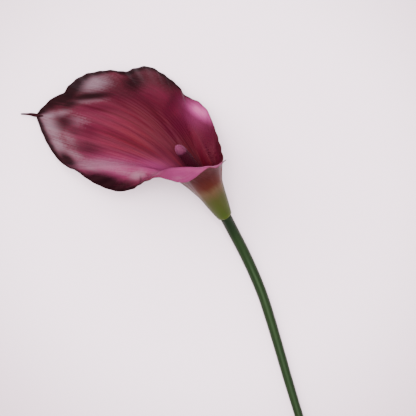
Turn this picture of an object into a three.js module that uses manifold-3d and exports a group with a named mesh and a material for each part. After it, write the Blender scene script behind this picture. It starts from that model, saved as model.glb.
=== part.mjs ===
// A cut calla lily (Zantedeschia) lying on its back on a table: a long stem, the one
// rolled spathe that makes its trumpet, and the spadix that stands in the throat.
// Millimetres, +Z up. The object stands on z = 0 with its footprint centred on the origin,
// and the stem runs along -Y.
//
// The spathe is one blade of even thickness. Ribs fan out of a small ring on the stem, each
// a cubic curve in the plane through the flower's axis, and end on the wavy rim. The blade
// goes once round the axis and a quarter further, so that its outer margin laps over the
// inner one and ends in the small free corner beside the throat.
import * as THREE from "three";
import { mergeVertices } from "three/addons/utils/BufferGeometryUtils.js";
import Module from "manifold-3d";

const wasm = await Module();
wasm.setup();

// ---------------------------------------------------------------- driving dimensions, mm
const JUNCTION = [24.1, 68.8, 13]; // where spathe and stem meet, in the object's frame
const AXIS_TURN = 120; // degrees, the flower axis seen from above
const AXIS_RISE = 35; // degrees, the flower axis above the table

const BLADE = 0.9; // thickness of the spathe
const RIBS = 94;
const STEPS = 18; // steps along a rib
const RING = 4.2; // how far up the axis from the junction the spathe starts
const RING_RADIUS = 4.15; // the blade's middle surface there
const RING_RADIUS_INNER = 2.7; // the same under the lap
const RIB_SLOPE = 13; // degrees from the axis, where a rib starts
const RIB_START = 0.45; // first handle over the rib's chord
const CALM = 34; // length of rim over which its waves are evened out, inside the blade
const RUFFLE_FROM = 0.55; // share of the rib where the rim's waves begin

const PIN_RADIUS = 1.8; // the stem's neck and the spadix's foot
const BORE_RADIUS = 2.1; // the hole through the spathe's base that holds them
const COLLAR_LOW = RING - 1.2;
const COLLAR_TOP = RING + 5;
const NECK_TOP = RING + 1.8;
const SEAT_GAP = 0.3;

const STEM_RADIUS_TOP = 3.45;
const STEM_RADIUS_LOW = 2.6;
const STEM_TAPER = 120; // length of stem over which it thins
const STEM_FLAT = 22; // degrees to each side of straight down that the flat takes
const STEM_LIFT = 9.8; // rise of the stem's middle at the flower
const STEM_LIFT_LENGTH = 46;

const SPADIX_LENGTH = 62.6;
const SPADIX_RADIUS = 2.85;
const SPADIX_LEAN = 3.6; // sideways lean of its tip
const FLORET_COLUMNS = 8;
const FLORET_PITCH = 5.2;
const FLORET_RISE = 0.28;

// The rim, from the inner margin round the throat's far side, the upper lobes, the tip,
// the lower lobes and the rolled lip to the free corner of the outer margin.
// x and y from the junction, z above the table, then the direction in which the rib
// arrives (degrees from the flower axis; past 90 it is rolled over) and its handle.
const RIM = [
  [-12.0, 21.0, 41.0, 20, 10], // inner margin, under the lap
  [-9.0, 24.5, 40.5, 20, 10],
  [-7.0, 29.0, 38.5, 22, 10],
  [-3.0, 34.5, 35.0, 30, 12], // right side of the throat
  [-3.5, 40.5, 31.0, 40, 14],
  [-5.0, 46.0, 28.0, 48, 17],
  [-7.0, 52.5, 24.5, 55, 19.5],
  [-9.0, 58.0, 22.0, 66, 22],
  [-12.0, 64.6, 18.5, 74, 25.5],
  [-17.0, 69.5, 15.5, 76, 29],
  [-24.8, 73.6, 12.0, 74, 32],
  [-29.5, 79.7, 10.5, 72, 35], // notch
  [-34.5, 84.0, 7.0, 76, 38],
  [-40.0, 88.0, 3.5, 78, 42],
  [-47.0, 91.5, 0.4, 78, 46], // first upper lobe
  [-54.5, 90.5, 2.5, 76, 48],
  [-60.5, 88.0, 7.0, 72, 50], // notch
  [-68.5, 89.0, 5.0, 74, 50],
  [-77.0, 88.5, 2.0, 76, 50],
  [-85.0, 86.8, 0.4, 76, 50], // second upper lobe
  [-90.6, 83.4, 2.0, 76, 50],
  [-95.0, 79.0, 4.5, 74, 50],
  [-97.5, 75.3, 6.0, 72, 50], // notch
  [-103.0, 73.0, 5.5, 72, 50],
  [-108.0, 69.0, 4.5, 72, 50],
  [-112.0, 65.0, 3.5, 72, 50],
  [-114.0, 62.8, 3.0, 72, 50], // tip
  [-113.1, 59.4, 3.5, 73, 50],
  [-110.0, 51.3, 6.0, 74, 50],
  [-105.4, 42.8, 10.0, 77, 50],
  [-99.5, 35.0, 14.0, 80, 50],
  [-94.0, 31.0, 19.0, 84, 49.5], // notch
  [-88.5, 28.6, 23.0, 88, 48.5],
  [-81.5, 23.6, 26.0, 93, 48.5],
  [-72.5, 19.0, 27.0, 98, 45], // lower lobe
  [-62.5, 16.5, 30.0, 104, 40],
  [-54.0, 18.5, 35.0, 108, 32],
  [-50.0, 21.0, 40.0, 109, 26.8], // small fold
  [-46.5, 22.5, 43.5, 113, 23.6],
  [-39.5, 24.5, 48.5, 130, 20.8],
  [-32.0, 22.5, 51.5, 153, 23.5], // rolled lip
  [-25.0, 21.5, 53.0, 160, 25],
  [-19.2, 23.9, 54.8, 158, 21.5],
  [-15.2, 27.2, 56.5, 146, 14.5],
  [-11.5, 29.6, 57.2, 124, 10],
  [-6.5, 30.0, 55.0, 110, 10],
  [-3.5, 32.5, 48.0, 80, 8],
  [-1.0, 34.5, 41.0, 80, 8], // free corner
];
const TIP = 26; // the tip's place in RIM

// The tail at the tip: x and y from the junction, z above the table, radius.
const TAIL = [
  [-109.5, 61.8, 4.6, 0.4],
  [-112.3, 62.0, 3.8, 0.9],
  [-114.4, 62.3, 3.2, 1.4],
  [-116.6, 62.8, 2.7, 1.0],
  [-119.0, 63.0, 2.3, 0.65],
  [-123.6, 63.1, 1.7, 0.5],
];

// The stem's middle seen from above, x and y from the junction.
const STEM = [
  [0, 0],
  [4.5, -8.7],
  [8.3, -15.9],
  [15.2, -30.3],
  [21.1, -44.6],
  [25.8, -59.0],
  [30.1, -73.4],
  [36.3, -94.9],
  [42.8, -116.5],
  [54.5, -157],
  [66, -200],
  [73, -229],
];

// ---------------------------------------------------------------- small helpers
const rad = (a) => (a * Math.PI) / 180;
const clamp = (v) => Math.min(Math.max(v, 0), 1);
const smooth = (v) => clamp(v) ** 2 * (3 - 2 * clamp(v));

// The flower's own axes: ALONG the trumpet, SIDE and FRONT across it.
const ALONG = new THREE.Vector3(
  Math.cos(rad(AXIS_TURN)) * Math.cos(rad(AXIS_RISE)),
  Math.sin(rad(AXIS_TURN)) * Math.cos(rad(AXIS_RISE)),
  Math.sin(rad(AXIS_RISE)),
);
const SIDE = new THREE.Vector3(Math.sin(rad(AXIS_TURN)), -Math.cos(rad(AXIS_TURN)), 0);
const FRONT = new THREE.Vector3().crossVectors(SIDE, ALONG);
const FOOT = new THREE.Vector3(0, 0, JUNCTION[2]);

const place = (d, side, front) =>
  FOOT.clone()
    .addScaledVector(ALONG, d)
    .addScaledVector(SIDE, side)
    .addScaledVector(FRONT, front);

// A smooth curve through values at given keys, read at one key.
function through(keys, values, at) {
  let i = 0;
  while (i < keys.length - 2 && at > keys[i + 1]) i++;
  const rise = (k) => (values[k + 1] - values[k]) / (keys[k + 1] - keys[k]);
  const slope = (k) => {
    if (k === 0) return rise(0);
    if (k === keys.length - 1) return rise(k - 1);
    const before = keys[k] - keys[k - 1];
    const after = keys[k + 1] - keys[k];
    return (rise(k - 1) * after + rise(k) * before) / (before + after);
  };
  const h = keys[i + 1] - keys[i];
  const t = (at - keys[i]) / h;
  return (
    values[i] * (1 + 2 * t) * (1 - t) ** 2 +
    slope(i) * h * t * (1 - t) ** 2 +
    values[i + 1] * t * t * (3 - 2 * t) -
    slope(i + 1) * h * t * t * (1 - t)
  );
}

const lengths = (points) => {
  const s = [0];
  for (let i = 1; i < points.length; i++)
    s.push(s[i - 1] + Math.hypot(...points[i].map((v, k) => v - points[i - 1][k])));
  return s;
};

function mesh(points, faces) {
  const geometry = new THREE.BufferGeometry();
  geometry.setAttribute("position", new THREE.Float32BufferAttribute(points.flat(), 3));
  geometry.setIndex(faces.flat());
  return geometry;
}

function solid(geometry) {
  const merged = mergeVertices(geometry, 1e-4);
  return new wasm.Manifold(
    new wasm.Mesh({
      numProp: 3,
      vertProperties: merged.attributes.position.array,
      triVerts: new Uint32Array(merged.index.array),
    }),
  );
}

function geometryOf(manifold) {
  const out = manifold.getMesh();
  const geometry = new THREE.BufferGeometry();
  geometry.setAttribute("position", new THREE.BufferAttribute(out.vertProperties, 3));
  geometry.setIndex(new THREE.BufferAttribute(out.triVerts, 1));
  return geometry;
}

// Rings of points, each ring closed, joined one to the next and capped at both ends.
function skin(rings) {
  const n = rings[0].length;
  const points = rings.flat().map((p) => p.toArray());
  const faces = [];
  for (let i = 0; i + 1 < rings.length; i++)
    for (let j = 0; j < n; j++) {
      const a = i * n + j;
      const b = i * n + ((j + 1) % n);
      faces.push([a, b, b + n], [a, b + n, a + n]);
    }
  for (const [i, turn] of [
    [0, true],
    [rings.length - 1, false],
  ]) {
    const middle = new THREE.Vector3();
    rings[i].forEach((p) => middle.addScaledVector(p, 1 / n));
    points.push(middle.toArray());
    for (let j = 0; j < n; j++) {
      const a = i * n + j;
      const b = i * n + ((j + 1) % n);
      faces.push(turn ? [b, a, points.length - 1] : [a, b, points.length - 1]);
    }
  }
  return mesh(points, faces);
}

// ---------------------------------------------------------------- the spathe
// Each rib's start, handles and end in the flower's axes, as distance along the axis,
// distance from it and the turn about it, once with the rim's waves and once without.
function ribs() {
  const along = lengths(RIM.map((r) => r.slice(0, 3)));
  const total = along[along.length - 1];
  const list = [];
  let last = null;
  for (let i = 0; i <= RIBS; i++) {
    const at = (total * i) / RIBS;
    const [x, y, z, turn, reach] = [0, 1, 2, 3, 4].map((k) =>
      through(along, RIM.map((r) => r[k]), at),
    );
    const p = new THREE.Vector3(x, y, z).sub(FOOT);
    const side = p.dot(SIDE);
    const front = p.dot(FRONT);
    let angle = (Math.atan2(front, side) * 180) / Math.PI;
    if (last !== null) angle -= 360 * Math.round((angle - last) / 360);
    last = angle;
    list.push({ at, turn, reach, waved: [p.dot(ALONG), Math.hypot(side, front), angle] });
  }
  for (const rib of list) {
    const sum = [0, 0, 0];
    let weight = 0;
    for (const other of list) {
      const w = Math.exp(-(((rib.at - other.at) / (CALM / 2.5)) ** 2));
      weight += w;
      other.waved.forEach((v, k) => (sum[k] += w * v));
    }
    // The ends of the rim and the tip keep their place.
    const free = smooth(Math.min(rib.at, total - rib.at) / (CALM * 0.9));
    const near = smooth(Math.abs(rib.at - along[TIP]) / (CALM * 0.8));
    const share = Math.min(free, near);
    rib.calm = rib.waved.map((v, k) => v + (sum[k] / weight - v) * share);
    rib.round = (list[0].waved[2] - rib.waved[2]) / 360;
  }
  return list;
}

// A point of the blade's middle surface, at share t of a rib.
function bladePoint(rib, t) {
  const lap = clamp((rib.round - 0.2) / 0.22);
  const start = RING_RADIUS_INNER + (RING_RADIUS - RING_RADIUS_INNER) * smooth(lap);
  const slope = rad(RIB_SLOPE - 5 * (1 - lap));
  const [d, r, angle] = rib.calm;
  const chord = Math.hypot(d - RING, r - start);
  const turn = rad(rib.turn);
  const hull = [
    [RING, start],
    [RING + RIB_START * chord * Math.cos(slope), start + RIB_START * chord * Math.sin(slope)],
    [d - rib.reach * Math.cos(turn), r - rib.reach * Math.sin(turn)],
    [d, r],
  ];
  const b = [(1 - t) ** 3, 3 * (1 - t) ** 2 * t, 3 * (1 - t) * t * t, t ** 3];
  const ruffle = clamp((t - RUFFLE_FROM) / (1 - RUFFLE_FROM)) ** 2;
  const [dd, rr, aa] = rib.waved.map((v, k) => (v - rib.calm[k]) * ruffle);
  const far = b.reduce((s, w, k) => s + w * hull[k][0], dd);
  const wide = b.reduce((s, w, k) => s + w * hull[k][1], rr);
  const a = rad(angle + aa);
  return place(far, wide * Math.cos(a), wide * Math.sin(a));
}

function blade() {
  const grid = ribs().map((rib) => {
    const row = [];
    for (let j = 0; j <= STEPS; j++) row.push(bladePoint(rib, j / STEPS));
    return row;
  });
  const nu = grid.length;
  const nt = STEPS + 1;
  const at = (i, j) => grid[Math.min(Math.max(i, 0), nu - 1)][Math.min(Math.max(j, 0), nt - 1)];
  const inside = [];
  const outside = [];
  for (let i = 0; i < nu; i++)
    for (let j = 0; j < nt; j++) {
      const across = at(i + 1, j).clone().sub(at(i - 1, j));
      const outward = at(i, j + 1).clone().sub(at(i, j - 1));
      const normal = outward.cross(across).normalize().multiplyScalar(BLADE / 2);
      inside.push(grid[i][j].clone().add(normal).toArray());
      outside.push(grid[i][j].clone().sub(normal).toArray());
    }
  const m = nu * nt;
  const id = (i, j) => i * nt + j;
  const faces = [];
  for (let i = 0; i + 1 < nu; i++)
    for (let j = 0; j + 1 < nt; j++) {
      const [a, b, c, d] = [id(i, j), id(i, j + 1), id(i + 1, j + 1), id(i + 1, j)];
      const short =
        grid[i][j].distanceTo(grid[i + 1][j + 1]) < grid[i][j + 1].distanceTo(grid[i + 1][j]);
      const two = short ? [[a, b, c], [a, c, d]] : [[a, b, d], [b, c, d]];
      for (const [p, q, r] of two) faces.push([p, q, r], [p + m, r + m, q + m]);
    }
  const edge = (p, q) => faces.push([p, p + m, q + m], [p, q + m, q]);
  for (let i = 0; i + 1 < nu; i++) {
    edge(id(i + 1, 0), id(i, 0));
    edge(id(i, nt - 1), id(i + 1, nt - 1));
  }
  for (let j = 0; j + 1 < nt; j++) {
    edge(id(0, j), id(0, j + 1));
    edge(id(nu - 1, j + 1), id(nu - 1, j));
  }
  return mesh([...inside, ...outside], faces);
}

// A round body along the flower's axis, from pairs of distance along it and radius.
function turned(profile, sides) {
  const geometry = new THREE.LatheGeometry(
    profile.map(([d, r]) => new THREE.Vector2(r, d)),
    sides,
  );
  geometry.deleteAttribute("normal");
  geometry.deleteAttribute("uv");
  geometry.applyMatrix4(new THREE.Matrix4().makeBasis(SIDE, ALONG, FRONT));
  return geometry.translate(FOOT.x, FOOT.y, FOOT.z);
}

function tail() {
  const points = TAIL.map(([x, y, z]) => new THREE.Vector3(x, y, z));
  const rings = points.map((p, i) => {
    const ahead = points[Math.min(i + 1, points.length - 1)];
    const along = ahead.clone().sub(points[Math.max(i - 1, 0)]).normalize();
    const across = new THREE.Vector3().crossVectors(along, new THREE.Vector3(0, 0, 1)).normalize();
    const up = new THREE.Vector3().crossVectors(across, along);
    const ring = [];
    for (let k = 0; k < 10; k++) {
      const a = (-k / 10) * 2 * Math.PI;
      const r = TAIL[i][3];
      ring.push(
        p.clone().addScaledVector(across, r * Math.cos(a)).addScaledVector(up, r * Math.sin(a)),
      );
    }
    return ring;
  });
  return skin(rings);
}

function spathe() {
  const collar = turned(
    [
      [COLLAR_LOW, 0],
      [COLLAR_LOW, 3.4],
      [COLLAR_LOW + 0.5, 4.15],
      [COLLAR_LOW + 1.4, 4.5],
      [COLLAR_LOW + 2.7, 4.45],
      [COLLAR_TOP, 4.1],
      [COLLAR_TOP, 0],
    ],
    32,
  );
  const [low, high] = [COLLAR_LOW - 2, COLLAR_TOP + 4];
  const bore = turned([[low, 0], [low, BORE_RADIUS], [high, BORE_RADIUS], [high, 0]], 24);
  return geometryOf(solid(blade()).add(solid(collar)).add(solid(tail())).subtract(solid(bore)));
}

// ---------------------------------------------------------------- the stem
function stem() {
  const along = lengths(STEM);
  const total = along[along.length - 1];
  const middle = (s) => {
    const r = STEM_RADIUS_TOP + (STEM_RADIUS_LOW - STEM_RADIUS_TOP) * clamp(s / STEM_TAPER);
    const lift = STEM_LIFT * clamp(1 - s / STEM_LIFT_LENGTH) ** 2.6;
    const [x, y] = [0, 1].map((k) => through(along, STEM.map((p) => p[k]), s));
    return { p: new THREE.Vector3(x, y, r * Math.cos(rad(STEM_FLAT)) + lift), r };
  };
  const ring = (p, direction, r) => {
    const across = new THREE.Vector3(0, 0, 1).cross(direction).normalize();
    const up = new THREE.Vector3().crossVectors(direction, across);
    const points = [];
    for (let k = 0; k < 18; k++) {
      const a = rad(-90 + STEM_FLAT + (k * (360 - 2 * STEM_FLAT)) / 17);
      points.push(
        p.clone().addScaledVector(across, r * Math.cos(a)).addScaledVector(up, r * Math.sin(a)),
      );
    }
    return points;
  };
  const rings = [];
  for (let s = total; s > 3; s -= s > 60 ? 9 : 3.5) {
    const { p, r } = middle(s);
    const direction = middle(s - 0.5).p.sub(middle(Math.min(s + 0.5, total)).p).normalize();
    if (s > STEM_LIFT_LENGTH) direction.setZ(0).normalize();
    rings.push(ring(p, direction, r));
  }
  const shoulder = COLLAR_LOW - SEAT_GAP;
  for (const [d, r] of [
    [shoulder - 0.8, STEM_RADIUS_TOP],
    [shoulder, STEM_RADIUS_TOP - 0.25],
    [shoulder, PIN_RADIUS],
    [NECK_TOP, PIN_RADIUS],
  ])
    rings.push(ring(place(d, 0, 0), ALONG, r));
  return skin(rings);
}

// ---------------------------------------------------------------- the spadix
function spadix() {
  const foot = NECK_TOP + SEAT_GAP;
  const sides = 32;
  const rows = 50;
  const bodyStart = COLLAR_TOP + 3;
  const profile = (d) => {
    if (d < COLLAR_TOP + 1) return PIN_RADIUS;
    const grown = 2.2 + (SPADIX_RADIUS - 2.2) * smooth((d - 6) / 14);
    const left = (SPADIX_LENGTH - d) / 5.5;
    return left < 1 ? grown * Math.sqrt(Math.max(1 - (1 - left) ** 2, 0.004)) : grown;
  };
  const lean = (d) => -SPADIX_LEAN * (d / 60) ** 2.6;
  const levels = [foot, COLLAR_TOP - 0.2, COLLAR_TOP + 0.9, bodyStart - 1];
  for (let i = 0; i <= rows; i++) {
    const t = i / rows;
    levels.push(bodyStart + (SPADIX_LENGTH - bodyStart) * (t + 0.07 * Math.sin(Math.PI * t)));
  }
  const rings = levels.map((d) => {
    const ring = [];
    for (let k = 0; k < sides; k++) {
      const a = -(k / sides) * 2 * Math.PI;
      const row = (Math.PI * 2 * d) / FLORET_PITCH;
      const bump =
        Math.cos((FLORET_COLUMNS * a + row) / 2) * Math.cos((FLORET_COLUMNS * a - row) / 2);
      const fade = smooth((d - bodyStart) / 3) * smooth((SPADIX_LENGTH - d) / 4);
      const r = profile(d) + FLORET_RISE * (Math.abs(bump) - 0.5) * fade;
      ring.push(place(d, lean(d) + r * Math.cos(a), r * Math.sin(a)));
    }
    return ring;
  });
  return skin(rings);
}

// ---------------------------------------------------------------- the flower
function named(name, geometry, settings) {
  geometry.computeVertexNormals();
  const made = new THREE.Mesh(geometry, new THREE.MeshStandardMaterial(settings));
  made.name = name;
  return made;
}

const flower = new THREE.Group();
flower.add(named("stem", stem(), { color: 0x3d5b36, roughness: 0.5, metalness: 0 }));
flower.add(
  named("spathe", spathe(), {
    color: 0x7a2440,
    roughness: 0.45,
    metalness: 0,
    side: THREE.DoubleSide,
  }),
);
flower.add(named("spadix", spadix(), { color: 0x8a4a74, roughness: 0.6, metalness: 0 }));
flower.position.set(JUNCTION[0], JUNCTION[1], 0);

const callaLily = new THREE.Group();
callaLily.add(flower);
export default callaLily;
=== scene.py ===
"""A dark burgundy calla lily lying on a pale table, seen from straight above.

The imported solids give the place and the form. Three finer pieces stand for them: the rolled
spathe with its veins, the spadix with its florets, and the stem. Shapes are worked out in
millimetres, in the flower's own axes, and go into the meshes in metres.
"""

import bpy
import numpy as np
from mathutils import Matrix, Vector


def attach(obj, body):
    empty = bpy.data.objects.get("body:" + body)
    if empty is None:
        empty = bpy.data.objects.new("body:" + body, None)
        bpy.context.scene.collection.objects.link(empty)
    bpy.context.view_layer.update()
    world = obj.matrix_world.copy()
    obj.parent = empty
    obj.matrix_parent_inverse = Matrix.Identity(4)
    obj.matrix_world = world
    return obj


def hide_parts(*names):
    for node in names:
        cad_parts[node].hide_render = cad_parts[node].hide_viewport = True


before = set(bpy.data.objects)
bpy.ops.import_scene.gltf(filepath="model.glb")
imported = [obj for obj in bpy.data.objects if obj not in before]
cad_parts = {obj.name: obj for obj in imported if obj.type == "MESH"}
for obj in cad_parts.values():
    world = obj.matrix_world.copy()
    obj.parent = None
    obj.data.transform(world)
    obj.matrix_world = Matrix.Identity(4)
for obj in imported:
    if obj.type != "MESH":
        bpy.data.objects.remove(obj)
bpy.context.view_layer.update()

MM = 0.001

# ------------------------------------------------------------------ the flower's dimensions, mm
JUNCTION = np.array([24.1, 68.8, 13.0])  # where spathe and stem meet
AXIS_TURN = 120.0  # degrees, the flower axis seen from above
AXIS_RISE = 35.0  # degrees, the flower axis above the table

RIBS = 400  # ribs along the blade's rim
RIB_STEPS = 96  # points on a rib
RING = 4.2  # how far up the axis from the junction the spathe starts
RING_RADIUS = 4.15  # the blade's middle surface there
RING_RADIUS_INNER = 2.7  # the same under the lap
RIB_SLOPE = 13.0  # degrees from the axis, where a rib starts
LAP_END = 0.2  # turns round the flower that the lap takes, and then its fading out
LAP_FADE = 0.22
LAP_STEEPER = 5.0  # degrees by which a rib starts closer to the axis under the lap
RIB_START = 0.45  # first handle over the rib's chord
CALM = 34.0  # length of rim over which its waves are evened out, inside the blade
RUFFLE_FROM = 0.55  # share of the rib where the rim's waves begin
VEIN_BEND = 0.66  # how far a vein turns to the tip on its way to the rim
GROOVE_DEPTH = 0.5  # the midrib's groove, on the table's side
GROOVE_WIDTH = 2.6
PLEATS = 41  # soft pleats along the veins, counted round the flower
PLEAT_GROUPS = 9  # places round it where they draw together
PLEAT_WANDER = 1.3  # radians by which they do
PLEAT_HEIGHT = 0.09
RIPPLES = 47  # small waves of the margin
RIPPLE_HEIGHT = 0.28
PLAIN_ENDS = 12.0  # the rim's two ends, over which pleats and ripples grow
FAINTEST_MARGIN = 0.3  # a dark margin narrower than this isn't drawn
LIP_FROM = 0.80  # share of the rim where the rolled lip begins
LIP_PINK = 0.36  # strength of its pink, partly painted light on the lit roll

BLADE_BASE = 1.0  # thickness of the spathe at the stem
BLADE_RIM = 0.55  # and at its rim
PIN_RADIUS = 1.8  # the stem's neck and the spadix's foot
BORE_RADIUS = 2.1  # the collar's bore round them
COLLAR_LOW = RING - 1.2
COLLAR_TOP = RING + 5.0
COLLAR_SIDES = 72
NECK_TOP = RING + 1.8
SEAT_GAP = 0.3  # room between seated pieces
TAIL_RINGS = 60
TAIL_SIDES = 20
TAIL_ROUNDING = (0.5, 1.0)  # lengths over which its point and its root close

STEM_RADIUS_TOP = 3.45
STEM_RADIUS_LOW = 2.6
STEM_TAPER = 120.0  # length over which it grows thinner
STEM_FLAT = 22.0  # degrees to either side of straight down that lie flat
STEM_LIFT = 9.8  # how far the flower holds the stem's end off the table
STEM_LIFT_LENGTH = 46.0
STEM_RINGS = 260
STEM_SIDES = 56
RIDGES = 14  # faint ridges round the stem
RIDGE_HEIGHT = 0.02
BEVEL_LENGTH = 0.25  # the cut end's small bevel
BEVEL_DEPTH = 0.2

SPADIX_LENGTH = 62.6  # from the junction to its top
SPADIX_RADIUS = 2.85
SPADIX_FOOT_RADIUS = 2.2  # above the collar
SPADIX_LEAN = 3.6  # sideways, at LEAN_HEIGHT up the axis
LEAN_HEIGHT = 60.0
LEAN_POWER = 2.6
CORE_RINGS = 110
CORE_SIDES = 40
CORE_UNDER = 0.22  # how far the core's skin lies under the club's surface
FLORETS = 900
GOLDEN_ANGLE = 137.508  # degrees from one floret to the next
FLORET_SPREAD = 0.56  # a floret's half width over the side of its cell
FLORET_HEIGHT = 0.62  # its height over its half width
FLORET_SUNK = 0.16
FLORET_SIDES = 8

FLOOR_HALF = 4.0  # m
CAMERA_HEIGHT = 1100.0
SEEN_HALF = 124.8  # half the width of table in view

# The rim, from the inner margin round the throat's far side, the upper lobes, the tip, the
# lower lobes and the rolled lip to the free corner of the outer margin: x and y from the
# junction, z above the table, the direction in which the rib arrives (degrees from the
# flower axis; past 90 it is rolled over) and the length of its last handle.
RIM = np.array([
    [-12.0, 21.0, 41.0, 20, 10],  # inner margin, under the lap
    [-9.0, 24.5, 40.5, 20, 10],
    [-7.0, 29.0, 38.5, 22, 10],
    [-3.0, 34.5, 35.0, 30, 12],  # right side of the throat
    [-3.5, 40.5, 31.0, 40, 14],
    [-5.0, 46.0, 28.0, 48, 17],
    [-7.0, 52.5, 24.5, 55, 19.5],
    [-9.0, 58.0, 22.0, 66, 22],
    [-12.0, 64.6, 18.5, 74, 25.5],
    [-17.0, 69.5, 15.5, 76, 29],
    [-24.8, 73.6, 12.0, 74, 32],
    [-29.5, 79.7, 10.5, 72, 35],  # notch
    [-34.5, 84.0, 7.0, 76, 38],
    [-40.0, 88.0, 3.5, 78, 42],
    [-47.0, 91.5, 0.4, 78, 46],  # first upper lobe
    [-54.5, 90.5, 2.5, 76, 48],
    [-60.5, 88.0, 7.0, 72, 50],  # notch
    [-68.5, 89.0, 5.0, 74, 50],
    [-77.0, 88.5, 2.0, 76, 50],
    [-85.0, 86.8, 0.4, 76, 50],  # second upper lobe
    [-90.6, 83.4, 2.0, 76, 50],
    [-95.0, 79.0, 4.5, 74, 50],
    [-97.5, 75.3, 6.0, 72, 50],  # notch
    [-103.0, 73.0, 5.5, 72, 50],
    [-108.0, 69.0, 4.5, 72, 50],
    [-112.0, 65.0, 3.5, 72, 50],
    [-114.0, 62.8, 3.0, 72, 50],  # tip
    [-113.1, 59.4, 3.5, 73, 50],
    [-110.0, 51.3, 6.0, 74, 50],
    [-105.4, 42.8, 10.0, 77, 50],
    [-99.5, 35.0, 14.0, 80, 50],
    [-94.0, 31.0, 19.0, 84, 49.5],  # notch
    [-88.5, 28.6, 23.0, 88, 48.5],
    [-81.5, 23.6, 26.0, 93, 48.5],
    [-72.5, 19.0, 27.0, 98, 45],  # lower lobe
    [-62.5, 16.5, 30.0, 104, 40],
    [-54.0, 18.5, 35.0, 108, 32],
    [-50.0, 21.0, 40.0, 109, 26.8],  # small fold
    [-46.5, 22.5, 43.5, 113, 23.6],
    [-39.5, 24.5, 48.5, 130, 20.8],
    [-32.0, 22.5, 51.5, 153, 23.5],  # rolled lip
    [-25.0, 21.5, 53.0, 160, 25],
    [-19.2, 23.9, 54.8, 158, 21.5],
    [-15.2, 27.2, 56.5, 146, 14.5],
    [-11.5, 29.6, 57.2, 124, 10],
    [-6.5, 30.0, 55.0, 110, 10],
    [-3.5, 32.5, 48.0, 80, 8],
    [-1.0, 34.5, 41.0, 80, 8],  # free corner
])
TIP = 26  # the tip's place in RIM

# The tail at the tip: x and y from the junction, z above the table, radius.
TAIL = np.array([
    [-109.5, 61.8, 4.6, 0.4],
    [-112.3, 62.0, 3.8, 0.6],
    [-114.4, 62.3, 3.2, 1.1],
    [-116.6, 62.8, 2.7, 1.0],
    [-119.0, 63.0, 2.3, 0.65],
    [-123.6, 63.1, 1.7, 0.5],
])

# The stem's middle seen from above, x and y from the junction.
STEM = np.array([
    [0, 0], [4.5, -8.7], [8.3, -15.9], [15.2, -30.3], [21.1, -44.6], [25.8, -59.0],
    [30.1, -73.4], [36.3, -94.9], [42.8, -116.5], [54.5, -157], [66, -200], [73, -229],
])

# How far the dark margin reaches in from the rim, mm, at each place of RIM: the petal's own dark pigment,
# widened by painted shade where the rolled rim turns away from the light.
MARGIN = np.array([
    0.3, 0.3, 0.3, 0.4, 0.4, 0.4, 0.3, 0.3, 0.3, 0.4, 1.0, 2.6, 4.5, 5.0, 3.8, 4.6, 6.0, 3.0, 4.6, 6.0,
    9.0, 11.5, 12.5, 12, 10.0, 6.0, 3.0, 3.4, 4.2, 4.0, 3.8, 2.4, 2.2, 4.5, 8.0, 8.0, 4.0, 1.4,
    0.6, 0.4, 0.3, 0.3, 0.3, 0.3, 0.3, 0.3, 0.3, 0.5,
])

# Soft marks on the blade's inner face: x and y of the middle from the junction, half length,
# half width, direction in degrees and strength.
# Painted shade in the folds, notches and hollows and where the rims roll away from the light, over the
# petal's dark pigment.
SHADE_MARKS = np.array([
    [-82, 72.9, 18, 2.6, 4, 0.95],  # fold below the second upper lobe
    [-92, 78, 9, 6, 40, 0.8],
    [-97, 71.5, 12, 5.0, 24, 0.95],
    [-94, 68.6, 8, 3.8, 8, 0.85],
    [-91, 53.0, 8, 4.0, -25, 0.5],  # hollows behind the tip
    [-82, 42.8, 11, 5.2, -12, 0.5],
    [-62, 74.5, 14, 5.0, -10, 0.45],
    [-55.5, 81, 8, 7.5, 18, 0.8],  # notch between the upper lobes
    [-94.2, 34.9, 8.2, 3.4, -42, 1.0],  # painted shade where the lower tip rolls away from the light
    [-73, 23.1, 14.5, 4.7, -13, 1.1],  # lower lobe
    [-61, 20.0, 10, 4.0, -4, 0.8],
    [-96.5, 57.6, 8.0, 5.4, -8, 0.7],  # grey patch behind the tip
    [-34, 82, 9, 4.5, -36, 0.75],  # first upper lobe, beside the notch to the throat's lobe
    [-33, 71, 9, 3.0, 62, 0.35],  # fold between them
    [-46, 90, 9, 2.5, -6, 0.6],
    [-50.3, 23.4, 0.7, 2.8, 6, 0.75],  # small fold
])
# Painted sheen: pale silvery and pink highlights where the blade turns towards the light.
SHEEN_MARKS = np.array([
    [-80, 80.9, 11.5, 6.2, 5, 1.0],  # second upper lobe
    [-82, 70.2, 13, 2.2, 4, 0.55],  # crest below it
    [-105, 55, 12, 6.5, -60, 1.0],  # beside the tip
    [-107, 61.6, 8, 3.0, 8, 1.1],
    [-99, 62.9, 8, 3.0, 14, 0.75],
    [-94, 47.5, 9, 5.0, -48, 0.55],
    [-89, 58.5, 9, 4.5, -10, 0.5],
    [-100.5, 44.5, 10, 5.0, -50, 0.95],
    [-81, 31.0, 9, 3.0, -18, 0.8],
    [-52.3, 26.0, 6, 3.2, 8, 0.9],
    [-91, 38.5, 11, 3.6, -30, 0.7],  # above the shaded patch at the lower tip
    [-76, 32.0, 24, 4.2, -3, 0.75],  # crest above the lower lobe
    [-60, 27.5, 12, 2.6, -12, 0.55],
    [-16.5, 64, 6.0, 2.2, -30, 0.65],  # lobe beside the throat
    [-42, 26.4, 4.5, 1.8, 10, 0.5],  # painted highlights on the lip
    [-28, 24.0, 5.0, 1.6, 5, 0.45],
])
# The petal's pink with painted highlights: the lobe beside the throat is a painted highlight, and the
# crests' pink is partly painted light.
PINK_AND_HIGHLIGHT_MARKS = np.array([
    [-16.0, 63.7, 8.2, 3.9, -35, 0.92],  # painted highlight on the lobe beside the throat
    [-19, 60.0, 9, 5.0, -40, 0.15],
    [-62, 30.0, 26, 7.0, -2, 0.22],  # crest above the lower lobe
    [-44, 30.0, 15, 5.0, -8, 0.32],  # where the lip begins
])
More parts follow.
